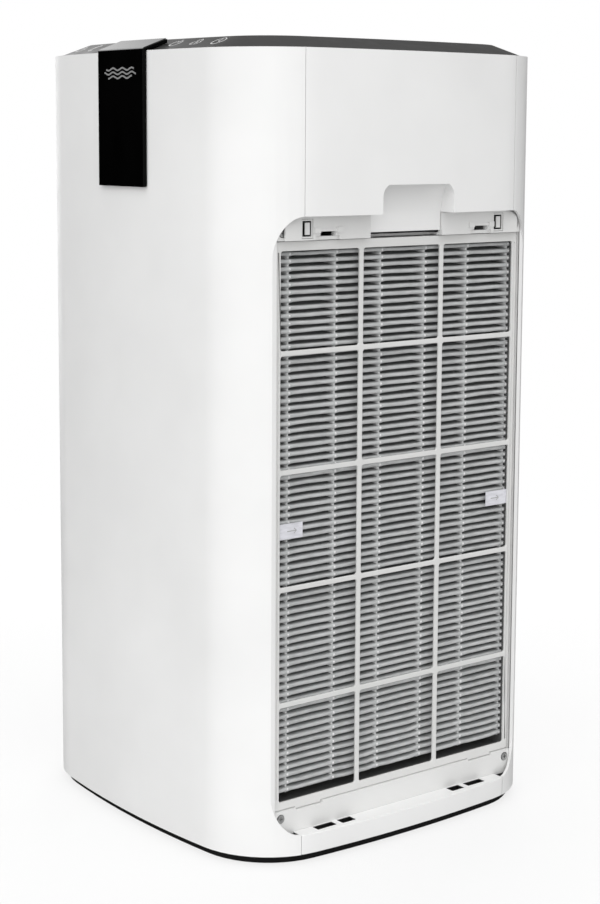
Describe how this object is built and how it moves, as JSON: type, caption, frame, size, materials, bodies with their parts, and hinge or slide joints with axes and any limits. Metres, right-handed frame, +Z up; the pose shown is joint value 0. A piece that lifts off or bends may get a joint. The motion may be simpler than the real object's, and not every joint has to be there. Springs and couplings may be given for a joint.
{
  "type": "air purifier",
  "caption": "Tall rounded-square air purifier with bowed white walls, a side filter behind a grid, a hinged side cover, a sloped black top and a glossy front strap.",
  "frame": {"origin": "centre of the bounding box at floor level", "axes": "+Z up, front with the strap faces -Y, the open filter bay faces +X"},
  "size_m": [0.3606, 0.361, 0.6912],
  "materials": {
    "body_white": "satin moulded",
    "frame_white": "satin moulded",
    "cover_black": "satin dark",
    "strap_gloss": "piano black",
    "filter_paper": "pleated fibre",
    "carbon_mat": "felted",
    "gasket_foam": "foam",
    "tag_paper": "smooth",
    "screw_steel": "plated",
    "foot_rubber": "matte",
    "duct_grey": "moulded",
    "motor_grey": "satin",
    "mount_steel": "pressed",
    "board_green": "solder mask"
  },
  "bodies": {
    "housing": {"base_tray": "cover_black", "rubber_feet": "foot_rubber", "base_screws": "screw_steel", "front_shell": "body_white", "rear_shell": "body_white", "right_upper_panel": "body_white", "right_lower_panel": "body_white", "left_upper_panel": "body_white", "left_lower_panel": "body_white", "right_filter_bay": "body_white", "left_filter_bay": "body_white", "right_bay_screws": "screw_steel", "left_bay_screws": "screw_steel", "left_filter_frame": "frame_white", "left_pleats": "filter_paper", "left_carbon_mat": "carbon_mat", "left_gasket": "gasket_foam", "left_filter_tags": "tag_paper", "top_cover": "cover_black", "outlet_grille": "cover_black", "front_strap": "strap_gloss", "touch_board": "board_green", "display_board": "board_green", "outlet_duct": "duct_grey", "left_scroll_half": "duct_grey", "right_scroll_half": "duct_grey", "scroll_screws": "screw_steel", "left_inlet_ring": "duct_grey", "right_inlet_ring": "duct_grey", "motor_mount": "mount_steel", "mount_bushes": "foot_rubber", "motor": "motor_grey", "motor_bearings": "screw_steel", "board_box": "cover_black", "main_board": "board_green", "dust_sensor": "duct_grey", "mains_inlet": "cover_black"},
    "impeller": {"impeller": "cover_black", "motor_shaft": "screw_steel", "impeller_nut": "screw_steel"},
    "right_filter": {"right_filter_frame": "frame_white", "right_pleats": "filter_paper", "right_carbon_mat": "carbon_mat", "right_gasket": "gasket_foam", "right_filter_tags": "tag_paper"},
    "left_cover": {"left_cover": "body_white"},
    "right_front_latch": {"right_front_latch": "frame_white"},
    "right_rear_latch": {"right_rear_latch": "frame_white"},
    "left_front_latch": {"left_front_latch": "frame_white"},
    "left_rear_latch": {"left_rear_latch": "frame_white"}
  },
  "joints": [
    {"name": "impeller_spin", "type": "hinge", "parent": "housing", "child": "impeller", "pos_m": [0, 0.0045, 0.29], "axis": [1, 0, 0], "continuous": true},
    {"name": "right_filter_slide", "type": "slide", "parent": "housing", "child": "right_filter", "axis": [1, 0, 0], "range_m": [0, 0.16]},
    {"name": "left_cover_tilt", "type": "hinge", "parent": "housing", "child": "left_cover", "pos_m": [-0.18025, 0.0015, 0.02575], "axis": [0, -1, 0], "range_deg": [0, 22]},
    {"name": "right_front_latch_push", "type": "slide", "parent": "housing", "child": "right_front_latch", "axis": [-1, 0, 0], "range_m": [0, 0.003], "stiffness_N_per_m": 300, "springref_m": -0.002},
    {"name": "right_rear_latch_push", "type": "slide", "parent": "housing", "child": "right_rear_latch", "axis": [-1, 0, 0], "range_m": [0, 0.003], "stiffness_N_per_m": 300, "springref_m": -0.002},
    {"name": "left_front_latch_push", "type": "slide", "parent": "housing", "child": "left_front_latch", "axis": [1, 0, 0], "range_m": [0, 0.003], "stiffness_N_per_m": 300, "springref_m": -0.002},
    {"name": "left_rear_latch_push", "type": "slide", "parent": "housing", "child": "left_rear_latch", "axis": [1, 0, 0], "range_m": [0, 0.003], "stiffness_N_per_m": 300, "springref_m": -0.002}
  ]
}
